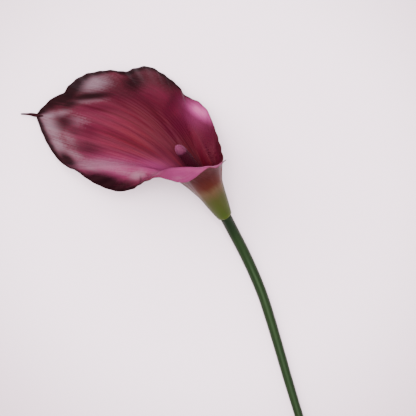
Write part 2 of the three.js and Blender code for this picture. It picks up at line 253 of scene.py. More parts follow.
# Painted shade in wine red: the hollows behind the tip, the throat's shaded wall and the lip's hollow.
WINE_SHADE_MARKS = np.array([
    [-82, 52.0, 7.5, 5.0, -20, 0.8],  # hollows behind the tip
    [-81, 41.0, 12, 4.0, -10, 0.8],
    [-62, 72.0, 16, 4.0, -12, 0.6],
    [-78, 65.7, 13, 2.8, -2, 0.95],
    [-32, 68.0, 14, 4.5, 62, 0.9],
    [-28, 55.0, 15, 9.0, 42, 1.0],  # shaded wall of the throat
    [-10.5, 47.8, 10, 6.0, 74, 1.0],
    [-18, 46.5, 9, 4.2, 66, 0.45],
    [-37, 39.0, 11, 5.5, -32, 0.85],
    [-31.5, 28.2, 9.5, 3.4, -3, 1.0],  # painted shade in the lip's hollow
])

# Dark lines along the veins, painted shade in their grooves: the vein's own place, half width in the same
# measure, the shares of the rib between which the line runs and its strength.
GROOVE_SHADE_LINES = np.array([
    [0.419, 0.0045, 0.32, 0.90, 1.0],
    [0.400, 0.0030, 0.45, 0.85, 0.6],
    [0.517, 0.0045, 0.28, 0.74, 0.9],  # the midrib
    [0.545, 0.0035, 0.30, 0.62, 0.6],
    [0.460, 0.0030, 0.25, 0.60, 0.5],
    [0.350, 0.0060, 0.40, 0.80, 0.5],
    [0.585, 0.0040, 0.35, 0.70, 0.5],
])
GLOWS = np.array([
    [0.479, 0.0100, 0.20, 0.70, 0.15],
    [0.438, 0.0090, 0.10, 0.44, 0.5],
    [0.195, 0.0180, 0.10, 0.36, 0.5],
    [0.497, 0.0060, 0.10, 0.50, 0.4],
    [0.535, 0.0070, 0.10, 0.45, 0.3],
])

turn, rise = np.radians([AXIS_TURN, AXIS_RISE])
ALONG = np.array([np.cos(turn) * np.cos(rise), np.sin(turn) * np.cos(rise), np.sin(rise)])
SIDE = np.array([np.sin(turn), -np.cos(turn), 0.0])
FRONT = np.cross(SIDE, ALONG)
FOOT = np.array([0.0, 0.0, JUNCTION[2]])
SHIFT = np.array([JUNCTION[0], JUNCTION[1], 0.0])  # from the junction's plan to the frame


# ------------------------------------------------------------------ small helpers
def smooth(v):
    """0 below 0, 1 above 1 and v * v * (3 - 2 v) between."""
    v = np.clip(v, 0, 1)
    return v * v * (3 - 2 * v)


def through(keys, values, at):
    """A smooth curve through values at keys, read at many places: cubic pieces whose slope
    at a key is the mean of its neighbours', each weighed by the other's length."""
    gap = np.diff(keys)
    rises = np.diff(values) / gap
    slopes = np.empty(len(keys))
    slopes[0], slopes[-1] = rises[0], rises[-1]
    slopes[1:-1] = (rises[:-1] * gap[1:] + rises[1:] * gap[:-1]) / (gap[:-1] + gap[1:])
    i = np.clip(np.searchsorted(keys, at, side="right") - 1, 0, len(keys) - 2)
    h, t = gap[i], (at - keys[i]) / gap[i]
    return (values[i] * (1 + 2 * t) * (1 - t) ** 2 + slopes[i] * h * t * (1 - t) ** 2
            + values[i + 1] * t * t * (3 - 2 * t) - slopes[i + 1] * h * t * t * (1 - t))


def lengths(points):
    """Distance along a line of points, from its first."""
    steps = np.linalg.norm(np.diff(points, axis=0), axis=1)
    return np.concatenate([[0], np.cumsum(steps)])


def unit(v):
    """Vectors brought to length 1."""
    return v / np.maximum(np.linalg.norm(v, axis=-1, keepdims=True), 1e-9)


def place(far, side, front):
    """Points from distance along the flower axis and the two distances across it."""
    return (FOOT + far[..., None] * ALONG + side[..., None] * SIDE + front[..., None] * FRONT)


def grid_faces(rows, columns, closed=False, first=0):
    """Quads of a grid of points numbered row by row; closed joins the last column to the first."""
    i = np.arange(rows - 1)[:, None] * columns + first
    j = np.arange(columns if closed else columns - 1)[None, :]
    k = (j + 1) % columns
    return np.stack([i + j, i + k, i + k + columns, i + j + columns], -1).reshape(-1, 4)


def end_fans(rows, sides, first=0):
    """Triangles that close a tube's two ends, each on a point of its own: the two points are
    numbered after the tube's, the first ring's before the last's."""
    k = np.arange(sides)
    after = (k + 1) % sides
    top, count = first + (rows - 1) * sides, first + rows * sides
    low = np.stack([first + after, first + k, np.full(sides, count)], 1)
    high = np.stack([top + k, top + after, np.full(sides, count + 1)], 1)
    return np.concatenate([low, high])


def piece(name, points, quads, triangles, values, node):
    """A smooth-shaded mesh from points in mm, its faces and per-point values, riding on the
    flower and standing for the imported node."""
    mesh = bpy.data.meshes.new(name)
    corners = np.concatenate([quads.ravel(), triangles.ravel()]).astype(np.int32)
    sizes = np.concatenate([np.full(len(quads), 4), np.full(len(triangles), 3)]).astype(np.int32)
    starts = np.concatenate([[0], np.cumsum(sizes)[:-1]]).astype(np.int32)
    mesh.vertices.add(len(points))
    mesh.vertices.foreach_set("co", ((points + SHIFT) * MM).astype(np.float32).ravel())
    mesh.loops.add(len(corners))
    mesh.loops.foreach_set("vertex_index", corners)
    mesh.polygons.add(len(sizes))
    mesh.polygons.foreach_set("loop_start", starts)
    mesh.polygons.foreach_set("loop_total", sizes)
    mesh.polygons.foreach_set("use_smooth", np.ones(len(sizes), bool))
    mesh.update(calc_edges=True)
    mesh.validate()
    for key, data in values.items():
        layer = mesh.attributes.new(key, "FLOAT", "POINT")
        layer.data.foreach_set("value", np.asarray(data, np.float32).ravel())
    made = bpy.data.objects.new(name, mesh)
    bpy.context.scene.collection.objects.link(made)
    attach(made, "root")
    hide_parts(node)
    return made


def marks(points, table):
    """Strength of soft marks at points: the strongest of exp(-p^2 - q^2), where p and q are the
    distances from a mark's middle along and across it over its half sizes."""
    x, y = points[..., 0], points[..., 1]
    found = np.zeros(x.shape)
    for mx, my, half_long, half_wide, way, strength in table:
        c, s = np.cos(np.radians(way)), np.sin(np.radians(way))
        p = ((x - mx) * c + (y - my) * s) / half_long
        q = (-(x - mx) * s + (y - my) * c) / half_wide
        found = np.maximum(found, strength * np.exp(-p * p - q * q))
    return found


def lines(vein, share, table):
    """Strength of lines along the veins: the strongest of exp(-((vein - middle) / width)^2),
    fading in and out over 0.12 of the rib."""
    found = np.zeros(vein.shape)
    for middle, width, start, end, strength in table:
        run = smooth((share - start) / 0.12) * smooth((end - share) / 0.12)
        found = np.maximum(found, strength * run * np.exp(-(((vein - middle) / width) ** 2)))
    return found


# ------------------------------------------------------------------ the spathe
def ribs():
    """The ribs' ends, evenly along the rim: distance along the axis, distance from it and
    turn about it, with the rim's waves (waved) and as a mean weighed by exp(-(d / width)^2) of
    the distance d along the rim (calm); the arriving direction and handle; and how far round
    the flower the rib stands, in whole turns."""
    along = lengths(RIM[:, :3])
    total = along[-1]
    at = np.linspace(0, total, RIBS)
    x, y, z, arrive, handle = [through(along, RIM[:, k], at) for k in range(5)]
    p = np.stack([x, y, z], 1) - FOOT
    side, front = p @ SIDE, p @ FRONT
    angle = np.degrees(np.unwrap(np.arctan2(front, side)))
    waved = np.stack([p @ ALONG, np.hypot(side, front), angle], 1)
    weight = np.exp(-(((at[:, None] - at[None, :]) / (CALM / 2.5)) ** 2))
    even = weight @ waved / weight.sum(1, keepdims=True)
    # the two ends and the tip keep their own waves
    free = smooth(np.minimum(at, total - at) / (CALM * 0.9))
    near = smooth(np.abs(at - along[TIP]) / (CALM * 0.8))
    share = np.minimum(free, near)[:, None]
    calm = waved + (even - waved) * share
    return {
        "at": at, "total": total, "tip": along[TIP], "waved": waved, "calm": calm,
        "arrive": np.radians(arrive), "handle": handle, "round": (angle[0] - angle) / 360,
    }


def blade_middle(rib, t):
    """The blade's middle surface. Each rib is a cubic curve in the plane through the axis:
    it leaves the ring at RIB_SLOPE and arrives in its own direction. The rim's waves are the
    waved end less the calm one, and grow with the square of the share past RUFFLE_FROM."""
    lap = np.clip((rib["round"] - LAP_END) / LAP_FADE, 0, 1)
    start = RING_RADIUS_INNER + (RING_RADIUS - RING_RADIUS_INNER) * smooth(lap)
    slope = np.radians(RIB_SLOPE - LAP_STEEPER * (1 - lap))
    d, r, angle = rib["calm"].T
    chord = np.hypot(d - RING, r - start)
    far_hull = [RING + 0 * d, RING + RIB_START * chord * np.cos(slope),
                d - rib["handle"] * np.cos(rib["arrive"]), d]
    wide_hull = [start, start + RIB_START * chord * np.sin(slope),
                 r - rib["handle"] * np.sin(rib["arrive"]), r]
    weights = [(1 - t) ** 3, 3 * (1 - t) ** 2 * t, 3 * (1 - t) * t * t, t ** 3]
    ruffle = np.clip((t - RUFFLE_FROM) / (1 - RUFFLE_FROM), 0, 1) ** 2
    wave = rib["waved"] - rib["calm"]
    far = sum(np.outer(h, w) for h, w in zip(far_hull, weights)) + np.outer(wave[:, 0], ruffle)
    wide = sum(np.outer(h, w) for h, w in zip(wide_hull, weights)) + np.outer(wave[:, 1], ruffle)
    a = np.radians(angle[:, None] + np.outer(wave[:, 2], ruffle))
    return place(far, wide * np.cos(a), wide * np.sin(a)), far


def normals(middle):
    """Unit vectors square to a surface, and the directions in which its columns run."""
    across = np.gradient(middle, axis=0)
    outward = np.gradient(middle, axis=1)
    return unit(np.cross(outward, across)), outward


def blade():
    """The rolled blade. The middle surface is lifted along its normals by the midrib's groove
    -exp(-(x / width)^2), by pleats sin(vein) and by the margin's ripples sin(u), then thickened
    into an inner and an outer face with a rounded rim between them. The veins bend towards
    the tip: a vein's own place v solves u = tip + (v - tip)(1 - VEIN_BEND t^1.8), where u is
    the place along the rim and t the share of the rib."""
    rib = ribs()
    t = np.linspace(0, 1, RIB_STEPS)[None, :]
    middle, far = blade_middle(rib, t[0])
    total, tip = rib["total"], rib["tip"] / rib["total"]
    u = (rib["at"] / total)[:, None]
    vein = tip + (u - tip) / (1 - VEIN_BEND * t ** 1.8)
    # pleats and groove grow over the rib's middle, ripples next to the rim
    back = smooth((t - 0.3) / 0.4)
    near_rim = smooth((t - 0.86) / 0.14)
    # distance to the rim along the surface
    step = np.linalg.norm(np.diff(middle, axis=1), axis=2)
    run = np.concatenate([np.zeros((len(u), 1)), np.cumsum(step, 1)], 1)
    edge = run[:, -1:] - run
    ends = smooth(np.minimum(rib["at"], total - rib["at"])[:, None] / PLAIN_ENDS)
    groove = np.exp(-(((u - tip) * total * t / GROOVE_WIDTH) ** 2)) * back
    wander = PLEAT_WANDER * np.sin(2 * np.pi * vein * PLEAT_GROUPS)
    pleat = np.sin(2 * np.pi * vein * PLEATS + wander)
    fade = back * ends * (1 - 0.5 * smooth((t - 0.85) / 0.15))
    ripple = np.sin(2 * np.pi * u * RIPPLES) * near_rim * ends
    lift = -GROOVE_DEPTH * groove + PLEAT_HEIGHT * pleat * fade + RIPPLE_HEIGHT * ripple
    middle = middle + normals(middle)[0] * lift[..., None]
    normal, outward = normals(middle)
    half = 0.5 * (BLADE_BASE + (BLADE_RIM - BLADE_BASE) * smooth(t))[..., None]
    inner, outer = middle + normal * half, middle - normal * half
    bend = np.radians([45, 90, 135])[None, :, None]
    edge_out = normal[:, -1:] * np.cos(bend) + unit(outward[:, -1])[:, None] * np.sin(bend)
    rim = middle[:, -1:] + edge_out * half[:, -1:]
    loop = np.concatenate([inner, rim, outer[:, ::-1]], 1)

    # faces: the surface, the ring at its foot and the two ends
    rows, columns = loop.shape[:2]
    first = np.arange(rows - 1) * columns
    foot = np.stack([first, first + columns, first + 2 * columns - 1, first + columns - 1], 1)
    j = np.arange(columns // 2 - 1)
    start = np.stack([j, j + 1, columns - 2 - j, columns - 1 - j], 1)
    end = start[:, ::-1] + (rows - 1) * columns
    quads = np.concatenate([grid_faces(rows, columns)[:, ::-1], foot[:, ::-1], start, end])
    last = np.array([[columns // 2 - 1, columns // 2, columns // 2 + 1]])
    triangles = np.concatenate([last[:, ::-1], last + (rows - 1) * columns])

    # what the finish reads at each point: places on the blade and its marks, among them painted shade,
    # painted sheen and painted highlights
    reach = through(lengths(RIM[:, :3]), MARGIN, rib["at"])[:, None]
    margin = np.exp(-((edge / np.maximum(reach, FAINTEST_MARGIN)) ** 2.2))
    margin = margin * smooth((reach - FAINTEST_MARGIN) / 0.4)
    # the rolled lip is pink from its crest to the rim, partly its own colour and partly painted light on
    # the lit roll
    lip = LIP_PINK * smooth((u - LIP_FROM) / 0.09) * smooth((t - 0.62) / 0.2)
    shape = middle.shape[:2]
    share = np.broadcast_to(t, shape)
    on_middle = {
        "vein": vein, "share": share, "far": far,
        "dark": np.maximum(margin, marks(middle, SHADE_MARKS)),
        "pale": marks(middle, SHEEN_MARKS),
        "pink": np.maximum(marks(middle, PINK_AND_HIGHLIGHT_MARKS), lip),
        "wine_shade": marks(middle, WINE_SHADE_MARKS),
        "groove_shade": lines(vein, share, GROOVE_SHADE_LINES),
        "glow": lines(vein, share, GLOWS),
    }
    values = {key: np.concatenate([v, np.repeat(v[:, -1:], 3, 1), v[:, ::-1]], 1)
              for key, v in on_middle.items()}
    values["inside"] = np.concatenate([np.ones(shape), np.full((rows, 3), 0.5), np.zeros(shape)], 1)
    return loop.reshape(-1, 3), quads, triangles, values, tip


def collar(first):
    """The collar that holds stem and spadix: its outline is turned about the flower axis, out,
    up and back down the bore. A point at distance d and radius r stands at (d, r cos a,
    r sin a). Its points are numbered from first."""
    outline = np.array([
        [-1.2, BORE_RADIUS], [-1.2, 2.8], [-1.15, 3.3], [-1.0, 3.75], [-0.7, 4.1], [-0.3, 4.33],
        [0.2, 4.45], [0.9, 4.46], [1.6, 4.42], [3.0, 4.28], [5.0, 4.1], [5.0, 3.0],
        [5.0, BORE_RADIUS], [3.0, BORE_RADIUS], [1.0, BORE_RADIUS], [-0.6, BORE_RADIUS],
    ]) + [RING, 0]
    a = np.linspace(0, 2 * np.pi, COLLAR_SIDES, endpoint=False)
    d = np.repeat(outline[:, :1], COLLAR_SIDES, 1)
    r = outline[:, 1:]
    points = place(d, r * np.cos(a), r * np.sin(a)).reshape(-1, 3)
    # the outline closes on itself: the last ring joins the first
    quads = grid_faces(len(outline) + 1, COLLAR_SIDES, True) % len(points) + first
    return points, quads[:, ::-1], d.ravel()


def tail(first):
    """The thread at the tip: round sections along a smooth line, their radius brought in by
    a square root at both ends. Its points are numbered from first."""
    keys = lengths(TAIL[:, :3])
    s = np.linspace(0, keys[-1], TAIL_RINGS)
    line = np.stack([through(keys, TAIL[:, k], s) for k in range(3)], 1)
    radius = through(keys, TAIL[:, 3], s)
    for to_end, rounding in zip((keys[-1] - s, s), TAIL_ROUNDING):
        radius = radius * np.sqrt(np.clip(to_end / rounding, 0.02, 1))
    ahead = unit(np.gradient(line, axis=0))
    across, up = across_and_up(ahead)
    a = np.linspace(0, 2 * np.pi, TAIL_SIDES, endpoint=False)[None, :, None]
    ring = line[:, None] + radius[:, None, None] * (across[:, None] * np.cos(a) + up[:, None] * np.sin(a))
    points = np.concatenate([ring.reshape(-1, 3), line[:1], line[-1:]])
    quads = grid_faces(TAIL_RINGS, TAIL_SIDES, True, first)
    return points, quads, end_fans(TAIL_RINGS, TAIL_SIDES, first)


def across_and_up(ahead):
    """For directions along a line: the level direction square to each, and the one square
    to both."""
    across = unit(np.cross(np.array([0.0, 0.0, 1.0]), ahead))
    return across, np.cross(ahead, across)


def spathe():
    """The whole spathe: the rolled blade, the collar at its foot and the tail at its tip."""
    points, quads, triangles, values, tip = blade()
    ring, ring_quads, ring_far = collar(len(points))
    thread, thread_quads, thread_triangles = tail(len(points) + len(ring))
    # the tail's thread is dark, with a little painted sheen
    more = ((len(ring), {"vein": 0.5, "far": ring_far}),
            (len(thread), {"vein": tip, "share": 1.0, "far": 85.0, "inside": 1.0, "dark": 0.75,
                           "pale": 0.2}))
    values = {key: np.concatenate([v.ravel()] + [np.broadcast_to(own.get(key, 0.0), number)
                                                 for number, own in more])
              for key, v in values.items()}
    return piece("calla_spathe", np.concatenate([points, ring, thread]),
                 np.concatenate([quads, ring_quads, thread_quads]),
                 np.concatenate([triangles, thread_triangles]), values, "spathe")


# ------------------------------------------------------------------ the stem
def stem():
    """A round stalk along its plan line, flattened where it lies: a point at angle a of a
    section of radius r stands at r cos a across and r sin a up, and never lower than
    r cos(STEM_FLAT) below the middle. Faint ridges run along it. It narrows to a neck."""
    keys = lengths(STEM)
    total = keys[-1]
    s = total - np.linspace(0, 1, STEM_RINGS) * (total - 3.0)

    def middle(at):
        """The stem's middle and radius at distance at from the flower."""
        radius = STEM_RADIUS_TOP + (STEM_RADIUS_LOW - STEM_RADIUS_TOP) * np.clip(at / STEM_TAPER, 0, 1)
        lift = STEM_LIFT * np.clip(1 - at / STEM_LIFT_LENGTH, 0, 1) ** 2.6
        x, y = through(keys, STEM[:, 0], at), through(keys, STEM[:, 1], at)
        return np.stack([x, y, radius * np.cos(np.radians(STEM_FLAT)) + lift], 1), radius

    line, radius = middle(s)
    ahead = middle(s - 0.5)[0] - middle(np.minimum(s + 0.5, total))[0]
    ahead[s > STEM_LIFT_LENGTH, 2] = 0
    # the rounded shoulder and the neck: distance along the axis and radius
    shoulder = COLLAR_LOW - SEAT_GAP
    tops = np.array([[shoulder - 1.4, STEM_RADIUS_TOP], [shoulder - 0.8, STEM_RADIUS_TOP],
                     [shoulder - 0.3, STEM_RADIUS_TOP - 0.1], [shoulder, STEM_RADIUS_TOP - 0.45],
                     [shoulder, PIN_RADIUS], [NECK_TOP - 0.2, PIN_RADIUS], [NECK_TOP, PIN_RADIUS - 0.2]])
    zero = np.zeros(len(tops))
    # the cut end: two rings make its small bevel
    line = np.concatenate([line[:1], line[:1], line[1:], place(tops[:, 0], zero, zero)])
    ahead = unit(np.concatenate([ahead[:1], ahead, np.tile(ALONG, (len(tops), 1))]))
    line[1] += ahead[0] * BEVEL_LENGTH
    radius = np.concatenate([radius[:1] - BEVEL_DEPTH, radius, tops[:, 1]])[:, None]
    n = len(line)
    a = np.linspace(0, 2 * np.pi, STEM_SIDES, endpoint=False) - np.pi / 2
    across, up = across_and_up(ahead)
    on_stalk = ((np.arange(n) > 1) & (np.arange(n) < n - len(tops)))[:, None]
    ridge = RIDGE_HEIGHT * np.sin(RIDGES * a + 0.6)[None, :] * on_stalk
    r = radius + ridge - RIDGE_HEIGHT * on_stalk
    high = np.maximum(r * np.sin(a), -radius * np.cos(np.radians(STEM_FLAT)))
    ring = line[:, None] + (across[:, None] * (r * np.cos(a))[..., None] + up[:, None] * high[..., None])
    points = np.concatenate([ring.reshape(-1, 3), line[:1], line[-1:]])
    along = np.concatenate([s[:1], s, zero])
    values = {
        "along": np.concatenate([np.repeat(along, STEM_SIDES), [along[0], 0]]),
        "turned": np.concatenate([np.tile(a, n), [0, 0]]),
        "cut": np.concatenate([np.repeat((np.arange(n) < 1) * 1.0, STEM_SIDES), [1, 0]]),
    }
    return piece("calla_stem", points, grid_faces(n, STEM_SIDES, True), end_fans(n, STEM_SIDES),
                 values, "stem")


# ------------------------------------------------------------------ the spadix
def spadix_radius(d):
    """The club's radius at distance d along the axis: it swells smoothly from the foot and
    ends in a quarter ellipse."""
    grown = SPADIX_FOOT_RADIUS + (SPADIX_RADIUS - SPADIX_FOOT_RADIUS) * smooth((d - 6) / 14)
    left = np.clip((SPADIX_LENGTH - d) / 5.5, 0, 1)
    return np.where(d < COLLAR_TOP + 1, PIN_RADIUS, grown * np.sqrt(np.maximum(1 - (1 - left) ** 2, 0.0)))


def spadix_line(d):
    """Sideways place of the club's middle: it leans with the power LEAN_POWER of distance d."""
    return -SPADIX_LEAN * (np.maximum(d, 0) / LEAN_HEIGHT) ** LEAN_POWER


def on_club(d, a, r):
    """Points at distance d along the axis, angle a and radius r about the club's middle."""
    return place(d + 0 * a, spadix_line(d) + r * np.cos(a), r * np.sin(a))


def spadix():
    """A core of turned sections, and florets on it: low domes set one golden angle apart,
    each a small lat-long cap stretched to its cell and sunk into the core."""
    foot = NECK_TOP + SEAT_GAP
    d = np.concatenate([[foot, foot + 0.01, COLLAR_TOP - 0.2, COLLAR_TOP + 0.9],
                        np.linspace(COLLAR_TOP + 1.4, SPADIX_LENGTH - 0.4, CORE_RINGS)])
    r = spadix_radius(d) - CORE_UNDER * smooth((d - COLLAR_TOP - 1) / 3)
    r[0] = 0.02
    a = -np.linspace(0, 2 * np.pi, CORE_SIDES, endpoint=False)
    core = on_club(d[:, None], a, r[:, None]).reshape(-1, 3)
    zero = np.zeros(1)
    heel = place(d[:1], spadix_line(d[:1]), zero)
    top = place(zero + SPADIX_LENGTH - 0.25, spadix_line(zero + SPADIX_LENGTH), zero)
    core = np.concatenate([core, heel, top])

    # floret centres: equal areas along the club, a golden angle from one to the next
    fine = np.linspace(COLLAR_TOP + 4, SPADIX_LENGTH, 4000)
    slope = np.clip(np.gradient(spadix_radius(fine), fine), -30, 30)
    belt = spadix_radius(fine) * np.sqrt(1 + slope ** 2)
    area = np.cumsum(belt)
    at = np.interp((np.arange(FLORETS) + 0.5) / FLORETS * area[-1], area, fine)
    angle = np.arange(FLORETS) * np.radians(GOLDEN_ANGLE)
    here, ahead = (on_club(d_on, angle, spadix_radius(d_on)) for d_on in (at, at + 0.05))
    along = unit(ahead - here)
    around = unit(-np.sin(angle)[:, None] * SIDE + np.cos(angle)[:, None] * FRONT)
    out = unit(np.cross(around, along))
    cell = np.sqrt(2 * np.pi * np.trapz(belt, fine) / FLORETS)

    # one floret: rings of a cap, a point under it and one on top
    lat = np.radians([-20, 15, 45, 70])
    lon = np.linspace(0, 2 * np.pi, FLORET_SIDES, endpoint=False)
    wide = np.append(np.outer(np.cos(lat), np.cos(lon)), [0, 0])
    long = np.append(np.outer(np.cos(lat), np.sin(lon)), [0, 0])
    high = np.append(np.repeat(np.sin(lat), FLORET_SIDES), [-0.34, 0.93])
    each = len(high)
    rng = np.random.default_rng(7)
    size = FLORET_SPREAD * cell * rng.uniform(0.9, 1.08, FLORETS)[:, None, None]
    caps = (here - out * FLORET_SUNK)[:, None] + size * (
        wide[None, :, None] * around[:, None] + long[None, :, None] * along[:, None]
        + FLORET_HEIGHT * high[None, :, None] * out[:, None])
    base = len(core) + np.arange(FLORETS)[:, None, None] * each
    cap_quads = (base + grid_faces(len(lat), FLORET_SIDES, True)).reshape(-1, 4)
    cap_triangles = (base + end_fans(len(lat), FLORET_SIDES)).reshape(-1, 3)
    values = {
        "height": np.concatenate([np.repeat(d, CORE_SIDES), [d[0], SPADIX_LENGTH], np.repeat(at, each)]),
        "dome": np.concatenate([np.zeros(len(core)), np.tile(np.clip(high, 0, 1), FLORETS)]),
    }
    return piece("calla_spadix", np.concatenate([core, caps.reshape(-1, 3)]),
                 np.concatenate([grid_faces(len(d), CORE_SIDES, True), cap_quads]),
                 np.concatenate([end_fans(len(d), CORE_SIDES), cap_triangles]),
                 values, "spadix")


# ------------------------------------------------------------------ materials
# sockets of a colour mix: its factor, its two colours and the result
FACTOR, FIRST, SECOND, MIXED = 0, 6, 7, 2


def linear(colour):
    """An sRGB hex colour such as "#8c2a48" as linear red, green, blue and 1."""
    c = np.array([int(colour[i:i + 2], 16) for i in (1, 3, 5)]) / 255
    c = np.where(c <= 0.04045, c / 12.92, ((c + 0.055) / 1.055) ** 2.4)
    return (*c.tolist(), 1.0)


def add(tree, kind, sockets=None, stops=None, **settings):
    """Adds one node: its settings, then each socket gets a value or a link from another
    node's output. stops are the rising places of a colour ramp and their colours."""
    made = tree.nodes.new("ShaderNode" + kind)
    for key, value in settings.items():
        setattr(made, key, value)
    for key, value in (sockets or {}).items():
        if isinstance(value, bpy.types.NodeSocket):
            tree.links.new(value, made.inputs[key])
        else:
            made.inputs[key].default_value = value
    if stops:
        ramp = made.color_ramp
        for at, colour in stops[1:-1]:
            ramp.elements.new(at)
        for element, (at, colour) in zip(ramp.elements, stops):
            element.position, element.color = at, linear(colour)
    return made


def new_material(name):
    """An empty node material with a Principled shader on its output."""
    made = bpy.data.materials.new(name)
    made.use_nodes = True
    tree = made.node_tree
    tree.nodes.clear()
    shader = add(tree, "BsdfPrincipled")
    add(tree, "OutputMaterial", {"Surface": shader.outputs[0]})
    return made, tree, shader


def petal():
    """Living petal tissue: deep pigment under a thin silky wax. Fine veins fan out of the
    throat and draw together at the tip; the pigment runs in streaks along them. Painted sheen and
    highlights, and painted shade in the throat, folds, hollows and grooves, lie over the pigment."""
    made, tree, shader = new_material("burgundy_petal_tissue")
    vein, share, far, inside, dark, pale, pink, wine_shade, groove_shade, glow = (
        add(tree, "Attribute", attribute_name=name).outputs["Fac"]
        for name in ("vein", "share", "far", "inside", "dark", "pale", "pink", "wine_shade", "groove_shade", "glow"))
    way = add(tree, "CombineXYZ", {"X": vein, "Y": share, "Z": inside}).outputs[0]
    # veins and silky streaks 0.5 to 1 mm wide, bands of pigment about 4 mm
    fine_way = add(tree, "VectorMath", {0: way, 1: (170, 3.5, 5)}, operation="MULTIPLY").outputs[0]
    fine = add(tree, "TexNoise", {"Vector": fine_way, "Scale": 1.0, "Detail": 5.0,
                                  "Roughness": 0.65}).outputs["Fac"]
    broad_way = add(tree, "VectorMath", {0: way, 1: (42, 2.4, 5)}, operation="MULTIPLY").outputs[0]
    broad = add(tree, "TexNoise", {"Vector": broad_way, "Scale": 1.0, "Detail": 3.0,
                                   "Roughness": 0.55}).outputs["Fac"]
    # the cells' grain, 0.5 mm, drawn coarser than the real 0.05 mm so that it shows
    spot = add(tree, "TexCoord").outputs["Object"]
    grain = add(tree, "TexNoise", {"Vector": spot, "Scale": 2000.0, "Detail": 2.0}).outputs["Fac"]

    # inner face, from the throat to the margin: darkest in the throat, partly its deeper colour and
    # partly painted shade
    wander = add(tree, "Math", {0: broad, 1: 0.2, 2: share}, operation="MULTIPLY_ADD").outputs[0]
    inner = add(tree, "ValToRGB", {"Fac": wander}, stops=[
        (0.20, "#1c020a"), (0.42, "#390611"), (0.60, "#430918"), (0.78, "#4e1225"), (0.92, "#4e172b"),
        (1.0, "#3c0f1c")]).outputs[0]
    # round the flower: plum wall beside the throat, dark upper side, rose middle, pinker below; the
    # throat's wall and the upper side are darker partly by painted shade, and the lower side pinker
    # partly by painted light
    tint = add(tree, "ValToRGB", {"Fac": vein}, stops=[
        (0.00, "#c08aa0"), (0.10, "#e8a0c8"), (0.24, "#a87888"), (0.34, "#b89098"), (0.44, "#f0e0e8"),
        (0.60, "#ffffff"), (0.70, "#ffe8ff"), (1.0, "#ffd0f0")]).outputs[0]
    inner = add(tree, "Mix", {FACTOR: 1.0, FIRST: inner, SECOND: tint}, data_type="RGBA",
                blend_type="MULTIPLY").outputs[MIXED]

    # warm and dark lines, and darker patches
    streak = add(tree, "MapRange", {"Value": fine, "From Min": 0.5, "From Max": 0.68, "To Max": 0.5},
                 interpolation_type="SMOOTHSTEP").outputs[0]
    in_throat = add(tree, "MapRange", {"Value": share, "From Min": 0.35, "From Max": 0.75,
                                       "To Min": 1.0, "To Max": 0.1}).outputs[0]
    warm = add(tree, "Math", {0: streak, 1: in_throat}, operation="MULTIPLY").outputs[0]
    line = add(tree, "MapRange", {"Value": fine, "From Min": 0.48, "From Max": 0.32, "To Max": 0.5},
               interpolation_type="SMOOTHSTEP").outputs[0]
    patch = add(tree, "MapRange", {"Value": broad, "From Min": 0.4, "From Max": 0.66,
                                   "To Max": 0.6}).outputs[0]
    # the painted sheen, and the dark margin with its painted shade, break up into streaks and mottles
    # about 1 mm wide where they end
    mottle = add(tree, "TexNoise", {"Vector": spot, "Scale": 900.0, "Detail": 2.0}).outputs["Fac"]
    ragged = add(tree, "Math", {0: mottle, 1: 0.35, 2: fine}, operation="MULTIPLY_ADD").outputs[0]
    silver = add(tree, "Math", {0: ragged, 1: 1.45, 2: pale}, operation="MULTIPLY_ADD").outputs[0]
    silver = add(tree, "MapRange", {"Value": silver, "From Min": 1.18, "From Max": 2.3}).outputs[0]
    black = add(tree, "Math", {0: ragged, 1: 0.9, 2: dark}, operation="MULTIPLY_ADD").outputs[0]
    black = add(tree, "MapRange", {"Value": black, "From Min": 0.78, "From Max": 1.45,
                                   "To Max": 0.94}).outputs[0]
    # the painted shade of the hollows, and the blush with its painted highlights, follow the bands of
    # pigment
    hollow_shade = add(tree, "Math", {0: broad, 1: 0.8, 2: 0.5}, operation="MULTIPLY_ADD").outputs[0]
    hollow_shade = add(tree, "Math", {0: wine_shade, 1: hollow_shade}, operation="MULTIPLY", use_clamp=True).outputs[0]
    blush_and_highlight = add(tree, "Math", {0: broad, 1: 0.8, 2: 0.6}, operation="MULTIPLY_ADD").outputs[0]
    blush_and_highlight = add(tree, "Math", {0: pink, 1: blush_and_highlight}, operation="MULTIPLY", use_clamp=True).outputs[0]
    groove_shade = add(tree, "Math", {0: groove_shade, 1: 0.75}, operation="MULTIPLY").outputs[0]
    glow = add(tree, "Math", {0: glow, 1: 0.7}, operation="MULTIPLY").outputs[0]
    sheen = add(tree, "Mix", {FACTOR: pink, FIRST: linear("#66535c"), SECOND: linear("#9c5075")},
                data_type="RGBA").outputs[MIXED]
    # pigments laid over the inner face: the groove lines and the hollows are painted shade, the blush is
    # partly painted highlight, the silver is painted sheen and the black is dark pigment with painted
    # shade
    for strength, pigment in ((warm, linear("#641412")), (line, linear("#2c0410")),
                              (patch, linear("#320714")), (glow, linear("#661418")),
                              (hollow_shade, linear("#340616")), (groove_shade, linear("#2e040c")),
                              (blush_and_highlight, linear("#983f72")), (silver, sheen), (black, linear("#0c0405"))):
        inner = add(tree, "Mix", {FACTOR: strength, FIRST: inner, SECOND: pigment},
                    data_type="RGBA").outputs[MIXED]

